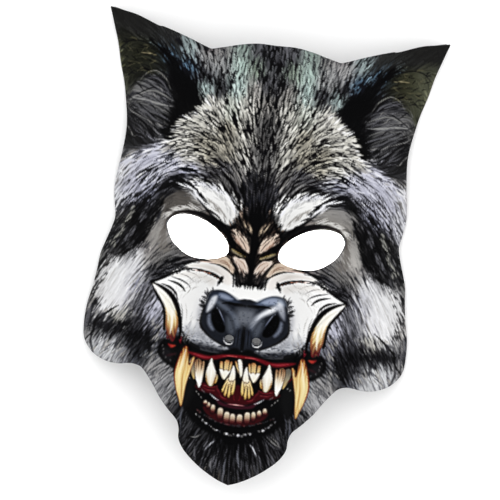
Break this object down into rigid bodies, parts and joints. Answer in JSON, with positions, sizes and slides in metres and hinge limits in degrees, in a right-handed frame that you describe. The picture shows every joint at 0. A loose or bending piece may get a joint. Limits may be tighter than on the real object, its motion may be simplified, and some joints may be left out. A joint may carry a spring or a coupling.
{
  "type": "wolf half mask",
  "caption": "Moulded foam half mask with a printed wolf face, raised ears and muzzle, cut eye holes and an elastic head strap.",
  "frame": {"origin": "on the surface that the mask lies on, under the middle of its bounding box", "axes": "+X to the viewer's right across the face, +Y up the face to the crown and ears, +Z out of the face"},
  "size_m": [0.241, 0.3254, 0.099],
  "materials": {
    "printed_foam": "printed cloth on moulded foam, matt with a faint sheen",
    "elastic": "flat woven black elastic",
    "patch": "plain black glued patch"
  },
  "bodies": {
    "root": {"mask_shell": "printed_foam", "elastic_strap": "elastic", "strap_patch_right": "patch", "strap_patch_left": "patch"}
  },
  "joints": []
}
